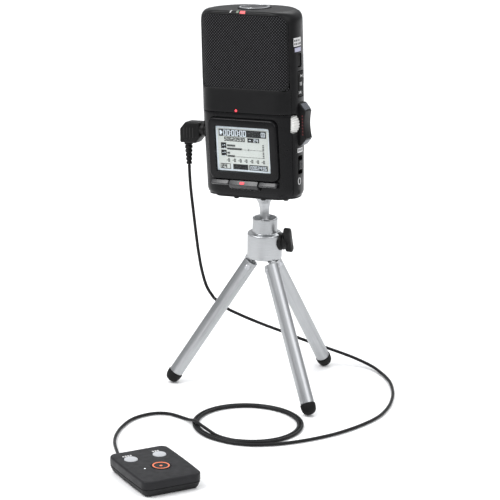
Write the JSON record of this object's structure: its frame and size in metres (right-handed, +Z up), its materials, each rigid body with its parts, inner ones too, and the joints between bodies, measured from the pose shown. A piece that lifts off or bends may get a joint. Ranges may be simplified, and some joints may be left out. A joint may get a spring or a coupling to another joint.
{
  "type": "portable field recorder",
  "caption": "Pocket field recorder leaning on the ball head of a folding table-top tripod, with a wired remote control on a looped lead.",
  "frame": {"origin": "middle of the base of the recorder, tripod and remote together, on the surface they stand on", "axes": "+Z up; the recorder's face looks towards -Y; +X to the viewer's right when facing it"},
  "size_m": [0.1402, 0.2519, 0.2362],
  "materials": {
    "case_black": "satin",
    "gloss_black": "gloss",
    "black_mesh": "satin",
    "black_rubber": "matte",
    "screen": "satin",
    "screen_lens": "clear",
    "white_plastic": "satin",
    "dark_metal": "satin",
    "aluminium": "satin",
    "brass": "satin",
    "steel": "satin",
    "circuit_board": "satin",
    "battery_can": "gloss",
    "remote_grey": "satin",
    "remote_base_grey": "textured",
    "orange_key": "satin",
    "grey_key": "satin",
    "cord_black": "satin"
  },
  "bodies": {
    "tripod": {"tripod_hub": "aluminium", "remote_base": "remote_base_grey", "remote_top": "remote_grey", "remote_board": "circuit_board", "remote_relief": "black_rubber", "cord_drop": "cord_black", "cord_floor": "cord_black", "cord_loop": "cord_black", "cord_tail": "cord_black"},
    "head_seat": {"ball_seat": "white_plastic"},
    "recorder": {"ball_stud": "aluminium", "body_frame": "case_black", "front_grille": "black_mesh", "rear_grille": "black_mesh", "front_shell": "gloss_black", "rear_shell": "case_black", "lcd_bezel": "gloss_black", "lcd_lens": "screen_lens", "lcd_panel": "screen", "gain_guard": "case_black", "main_board": "circuit_board", "mic_holder": "black_rubber", "mic_front": "steel", "mic_left": "steel", "mic_right": "steel", "speaker": "steel", "battery_1": "battery_can", "battery_2": "battery_can", "battery_contacts": "steel", "tripod_bush": "brass", "base_pad": "black_rubber", "case_screw_1": "steel", "case_screw_2": "steel", "jack_remote": "steel", "jack_line": "steel", "jack_phones": "steel", "plug": "black_rubber", "strain_relief": "black_rubber"},
    "lock": {"lock_knob": "black_rubber"},
    "leg1": {"leg_1": "aluminium", "leg_pin_1": "steel", "foot_cap_1": "black_rubber"},
    "leg2": {"leg_2": "aluminium", "leg_pin_2": "steel", "foot_cap_2": "black_rubber"},
    "leg3": {"leg_3": "aluminium", "leg_pin_3": "steel", "foot_cap_3": "black_rubber"},
    "mode_dial_body": {"mode_dial": "dark_metal"},
    "gain_wheel_body": {"gain_wheel": "white_plastic"},
    "rec_button_body": {"rec_button": "gloss_black"},
    "play_rocker_body": {"play_rocker": "black_rubber"},
    "menu_button_body": {"menu_button": "black_rubber"},
    "power_slide_body": {"power_slide": "case_black"},
    "volume_rocker_body": {"volume_rocker": "black_rubber"},
    "battery_cover_body": {"battery_cover": "case_black"},
    "card_cover_body": {"card_cover": "black_rubber"},
    "remote_rec_button_body": {"remote_rec_button": "orange_key"},
    "remote_pause_button_body": {"remote_pause_button": "grey_key"},
    "remote_mark_button_body": {"remote_mark_button": "grey_key"}
  },
  "joints": [
    {"name": "leg_1_fold", "type": "hinge", "parent": "tripod", "child": "leg1", "pos_m": [-0.00705, 0.06103, 0.0766], "axis": [0.3746, -0.9272, 0], "range_deg": [0, 31.7]},
    {"name": "leg_2_fold", "type": "hinge", "parent": "tripod", "child": "leg2", "pos_m": [0.01026, 0.05967, 0.0766], "axis": [0.515, 0.8572, 0], "range_deg": [0, 31.7]},
    {"name": "leg_3_fold", "type": "hinge", "parent": "tripod", "child": "leg3", "pos_m": [0.00445, 0.07403, 0.0766], "axis": [-0.9659, 0.2588, 0], "range_deg": [0, 31.7]},
    {"name": "lock_turn", "type": "hinge", "parent": "tripod", "child": "lock", "pos_m": [0.01175, 0.06661, 0.0932], "axis": [0.981, 0.1942, 0], "range_deg": [-90, 180]},
    {"name": "head_pan", "type": "hinge", "parent": "tripod", "child": "head_seat", "pos_m": [0.00194, 0.06466, 0.101], "axis": [0, 0, 1], "range_deg": [-30, 30], "deforming": ["cord_drop"]},
    {"name": "head_tilt", "type": "hinge", "parent": "head_seat", "child": "recorder", "pos_m": [0.00194, 0.06466, 0.101], "axis": [1, 0, 0], "range_deg": [-20, 20], "deforming": ["cord_drop"]},
    {"name": "mode_dial_turn", "type": "hinge", "parent": "recorder", "child": "mode_dial_body", "pos_m": [-0.00924, 0.06837, 0.23313], "axis": [-0.0844, 0.0758, 0.9936], "range_deg": [-45, 90]},
    {"name": "gain_wheel_turn", "type": "hinge", "parent": "recorder", "child": "gain_wheel_body", "pos_m": [0.0213, 0.054, 0.16968], "axis": [0, 0.9971, -0.076], "range_deg": [-135, 135]},
    {"name": "rec_button_press", "type": "slide", "parent": "recorder", "child": "rec_button_body", "axis": [-0.0049, 0.9998, -0.0184], "range_m": [0, 0.0004], "stiffness_N_per_m": 300},
    {"name": "menu_button_press", "type": "slide", "parent": "recorder", "child": "menu_button_body", "axis": [-0.9964, -0.0064, -0.0841], "range_m": [0, 0.0005], "stiffness_N_per_m": 300},
    {"name": "play_rocker_tip", "type": "hinge", "parent": "recorder", "child": "play_rocker_body", "pos_m": [0.02235, 0.06324, 0.19217], "axis": [0, 0.9971, -0.076], "range_deg": [-2.5, 2.5], "stiffness_Nm_per_rad": 0.02},
    {"name": "volume_rocker_tip", "type": "hinge", "parent": "recorder", "child": "volume_rocker_body", "pos_m": [-0.03422, 0.06328, 0.19667], "axis": [0, 0.9971, -0.076], "range_deg": [-2.5, 2.5], "stiffness_Nm_per_rad": 0.02},
    {"name": "power_slide_move", "type": "slide", "parent": "recorder", "child": "power_slide_body", "axis": [-0.0844, 0.0758, 0.9936], "range_m": [-0.0022, 0.0022]},
    {"name": "battery_cover_slide", "type": "slide", "parent": "recorder", "child": "battery_cover_body", "axis": [0.0844, -0.0758, -0.9936], "range_m": [0, 0.008]},
    {"name": "card_cover_swing", "type": "hinge", "parent": "recorder", "child": "card_cover_body", "pos_m": [-0.03153, 0.0619, 0.13511], "axis": [0.0844, -0.0758, -0.9936], "range_deg": [0, 80]},
    {"name": "remote_rec_press", "type": "slide", "parent": "tripod", "child": "remote_rec_button_body", "axis": [0, 0, -1], "range_m": [0, 0.0005], "stiffness_N_per_m": 300},
    {"name": "remote_pause_press", "type": "slide", "parent": "tripod", "child": "remote_pause_button_body", "axis": [0, 0, -1], "range_m": [0, 0.0005], "stiffness_N_per_m": 300},
    {"name": "remote_mark_press", "type": "slide", "parent": "tripod", "child": "remote_mark_button_body", "axis": [0, 0, -1], "range_m": [0, 0.0005], "stiffness_N_per_m": 300}
  ]
}
